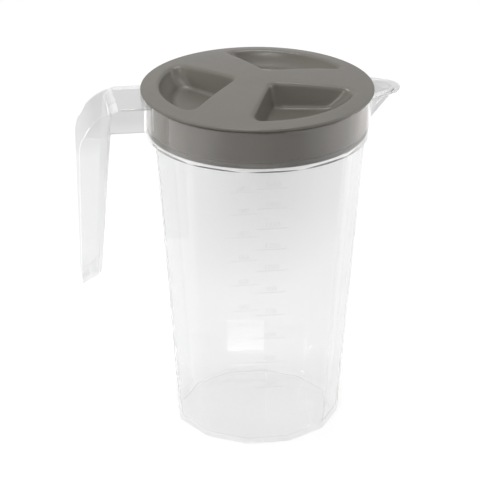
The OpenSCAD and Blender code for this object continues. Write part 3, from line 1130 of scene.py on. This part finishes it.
lid_bm = bmesh.new()
bmesh.ops.create_circle(lid_bm, cap_ends=False, segments=RIM_POINTS, radius=lid_r)
for turn in POCKET_TURNS:
    outline = pocket_outline(MOUTH, turn)
    mouth = bmesh.ops.create_circle(lid_bm, cap_ends=False, segments=len(outline), radius=POCKET_IN)["verts"]
    for v, p in zip(mouth, outline):
        v.co = (p.x, p.y, 0)
bmesh.ops.triangle_fill(lid_bm, use_beauty=True, edges=lid_bm.edges[:])
for _ in range(FILL_ROUNDS):
    long_edges = [e for e in inner_edges(lid_bm) if e.calc_length() > LONGEST]
    bmesh.ops.subdivide_edges(lid_bm, edges=long_edges, cuts=1)
    bmesh.ops.triangulate(lid_bm, faces=lid_bm.faces[:])
    bmesh.ops.beautify_fill(lid_bm, faces=lid_bm.faces[:], edges=inner_edges(lid_bm))
    free = [v for v in lid_bm.verts if not v.is_boundary]
    bmesh.ops.smooth_vert(lid_bm, verts=free, factor=RELAX, use_axis_x=True, use_axis_y=True)
for v in lid_bm.verts:
    v.co.z = dome_z(v.co.x, v.co.y)
print("faces of the dome:", len(lid_bm.faces))


# %% Find the pockets' mouths again
def nearest(verts, point):
    return min(verts, key=lambda v: (v.co.x - point.x) ** 2 + (v.co.y - point.y) ** 2)


edge_of_fill = [v for v in lid_bm.verts if v.is_boundary]
mouths = [[nearest(edge_of_fill, p) for p in pocket_outline(MOUTH, turn)] for turn in POCKET_TURNS]
print("points of the mouths:", [len(set(mouth)) for mouth in mouths])

# %% Steps down a pocket's side
TOP_ROUND = 2.6 * MM
FLOOR_BEND = 2.8 * MM
WALL_IN = 2.4 * MM
WALL_FALL = math.radians(78)
BEND_RINGS = 7
SIDE_RINGS = 8
wall_start = MOUTH + TOP_ROUND * math.sin(WALL_FALL)
bend_end = wall_start + WALL_IN + FLOOR_BEND * math.sin(WALL_FALL)
wall_drop = TOP_ROUND * (1 - math.cos(WALL_FALL))
wall_lift = FLOOR_BEND * (1 - math.cos(WALL_FALL))
# Each step has its inset, its drop from the dome, its lift from the floor, and the floor's share in it.
pocket_steps = [(MOUTH + TOP_ROUND * math.sin(a), TOP_ROUND * (1 - math.cos(a)), 0, 0)
                for a in spread(0, WALL_FALL, BEND_RINGS)[1:]]
pocket_steps += [(wall_start + WALL_IN * s, wall_drop, wall_lift, s) for s in spread(0, 1, SIDE_RINGS)[1:]]
pocket_steps += [(bend_end - FLOOR_BEND * math.sin(a), 0, FLOOR_BEND * (1 - math.cos(a)), 1)
                 for a in spread(WALL_FALL, 0, BEND_RINGS)[1:]]
print("steps down a pocket:", len(pocket_steps))

# %% Sink the pockets
OUTER_SLOPE = 5 * MM
for mouth, turn in zip(mouths, POCKET_TURNS):
    tops = [v.co.z for v in mouth]
    depth = max(tops) - pocket_floor
    for inset, drop, lift, share in pocket_steps:
        sunk = ((1 - share) * drop + share * (depth - lift)) / depth
        outline = pocket_outline(inset, turn, OUTER_SLOPE * sunk ** 2)
        heights = [(1 - share) * (top - drop) + share * (pocket_floor + lift) for top in tops]
        mouth = grow(lid_bm, mouth, [(p.x, p.y, z) for p, z in zip(outline, heights)])
    bmesh.ops.edgeloop_fill(lid_bm, edges=ring_edges(lid_bm, mouth))
lid_top = make_piece("lid_top", lid_bm, lid_finish, "lid",
                     ["lid_cover", "finger_pocket_front", "finger_pocket_back", "finger_pocket_handle"])

# %% Give the lid its thickness
SOFT_FROM = math.radians(60)
RIM_SOFT = 0.8 * MM
RIM_SEGMENTS = 4


def soften(piece, name, width, segments):
    """Rounds a piece's hard edges with a bevel modifier."""
    soft = piece.modifiers.new(name, "BEVEL")
    soft.width = width
    soft.segments = segments
    soft.limit_method = "ANGLE"
    soft.angle_limit = SOFT_FROM


if lid_top.data.polygons[0].normal.z < 0:
    lid_top.data.flip_normals()
skin = lid_top.modifiers.new("skin", "SOLIDIFY")
skin.thickness = POCKET_SKIN
skin.offset = -1
skin.use_even_offset = True
soften(lid_top, "soft_rim", RIM_SOFT, RIM_SEGMENTS)
print("lid skin in mm:", in_mm([skin.thickness]))

# %% [markdown]
# # Lid skirt
# Under the disc a skirt plugs the collar. It carries a foot with a groove for the seal, a pour window
# and a row of strainer slots, so the lid pours, strains or closes as it is turned. Booleans could cut
# the openings, but they leave long thin faces. So the section is spun into a ring, the openings' faces
# are deleted inside and out, and each hole is bridged. The skirt stands a little further out than its
# solid, for the same reason that the collar's wall is thin.

# %% Section of the skirt
SKIRT_OUT = 0.9 * MM
SKIRT = 2 * MM
SKIRT_SUNK = 0.4 * MM
FOOT = 3.6 * MM
FOOT_HIGH = 5 * MM
GROOVE_LOW = 1.2 * MM
GROOVE_HIGH = 2.6 * MM
GROOVE_IN = 1.9 * MM
WINDOW_LIFT = 1 * MM
WINDOW_UNDER = 1.1 * MM
skirt_low, skirt_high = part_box("lid_skirt")
skirt_r = skirt_high.y + SKIRT_OUT
skirt_in = skirt_r - SKIRT
skirt_z = skirt_low.z
skirt_top = dome_z(skirt_r, 0) - POCKET_SKIN + SKIRT_SUNK
groove_low = skirt_z + GROOVE_LOW
groove_high = groove_low + GROOVE_HIGH
foot_high = skirt_z + FOOT_HIGH
window_low = foot_high + WINDOW_LIFT
window_high = rim_z - WINDOW_UNDER
section = [
    (skirt_r, skirt_z), (skirt_r, groove_low), (skirt_r - GROOVE_IN, groove_low),
    (skirt_r - GROOVE_IN, groove_high), (skirt_r, groove_high),
    (skirt_r, window_low), (skirt_r, window_high), (skirt_r, skirt_top), (skirt_in, skirt_top),
    (skirt_in, window_high), (skirt_in, window_low), (skirt_in, foot_high),
    (skirt_r - FOOT, foot_high), (skirt_r - FOOT, skirt_z)]
print("skirt's foot and top in mm:", in_mm((skirt_z, skirt_top)))

# %% Spin the skirt
SPIN_STEPS = 400
STEP_TURN = math.tau / SPIN_STEPS


def spin_section(points, start_turn, steps):
    """Spins a closed section about the axis into a full ring."""
    bm = bmesh.new()
    verts = [bm.verts.new((r * math.cos(start_turn), r * math.sin(start_turn), z)) for r, z in points]
    edges = [bm.edges.new((verts[i - 1], verts[i])) for i in range(len(verts))]
    bmesh.ops.spin(bm, geom=verts + edges, axis=(0, 0, 1), cent=(0, 0, 0), angle=math.tau, steps=steps,
                   use_merge=True)
    bmesh.ops.remove_doubles(bm, verts=bm.verts[:], dist=FINE_MERGE)
    return bm


skirt_bm = spin_section(section, STEP_TURN / 2, SPIN_STEPS)
print("faces of the ring:", len(skirt_bm.faces))

# %% Cut the window and the slots
WINDOW_TURN = math.radians(90)
WINDOW_HALF = 19.5 * STEP_TURN
SLOTS_TURN = math.radians(135)
SLOT_HALF = 1.5 * STEP_TURN
SLOT_PITCH = 6 * STEP_TURN
SLOTS_EACH_WAY = 3
UPRIGHT = 0.1
SKIRT_SOFT = 0.3 * MM
SKIRT_SEGMENTS = 2
openings = [(WINDOW_TURN, WINDOW_HALF)]
for i in range(-SLOTS_EACH_WAY, SLOTS_EACH_WAY + 1):
    openings.append((SLOTS_TURN + i * SLOT_PITCH, SLOT_HALF))
for middle, half in openings:
    cut = []
    for f in skirt_bm.faces:
        c = f.calc_center_median()
        upright = abs(f.normal.z) < UPRIGHT
        if upright and window_low < c.z < window_high and abs(math.atan2(c.y, c.x) - middle) < half:
            cut.append(f)
    bmesh.ops.delete(skirt_bm, geom=cut, context="FACES")
    bmesh.ops.bridge_loops(skirt_bm, edges=[e for e in skirt_bm.edges if e.is_boundary])
skirt = make_piece("lid_plug", skirt_bm, skirt_finish, "lid", ["lid_skirt"])
soften(skirt, "soft_edges", SKIRT_SOFT, SKIRT_SEGMENTS)
print("openings cut:", len(openings))

# %% [markdown]
# # Seal ring
# A soft ring sits in the groove of the skirt's foot and wipes the collar's bore. A torus would be too
# round for the groove. So its section is a rectangle with small round corners, spun about the axis, and
# it fills the groove a little more snugly than its solid.

# %% Spin the seal
SEAL_WIDE = 1.8 * MM
SEAL_ROUND = 0.3 * MM
SEAL_SNUG = 0.22 * MM
SEAL_CORNER_POINTS = 5
SEAL_STEPS = 180
seal_low, seal_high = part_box("seal_ring")
seal_out = seal_high.y + SKIRT_OUT
bend_far = seal_out - SEAL_ROUND
bend_near = seal_out - SEAL_WIDE + SEAL_ROUND
bend_high = seal_high.z + SEAL_SNUG - SEAL_ROUND
bend_low = seal_low.z - SEAL_SNUG + SEAL_ROUND
seal_bends = [(bend_far, bend_high), (bend_near, bend_high), (bend_near, bend_low), (bend_far, bend_low)]
seal_section = []
for i, bend in enumerate(seal_bends):
    start = i * math.pi / 2
    bend_arc = arc(bend, SEAL_ROUND, start, start + math.pi / 2, SEAL_CORNER_POINTS)
    seal_section += [(p.x, p.y) for p in bend_arc]
seal_bm = spin_section(seal_section, 0, SEAL_STEPS)
make_piece("seal_band", seal_bm, seal_finish, "lid_seal", ["seal_ring"])
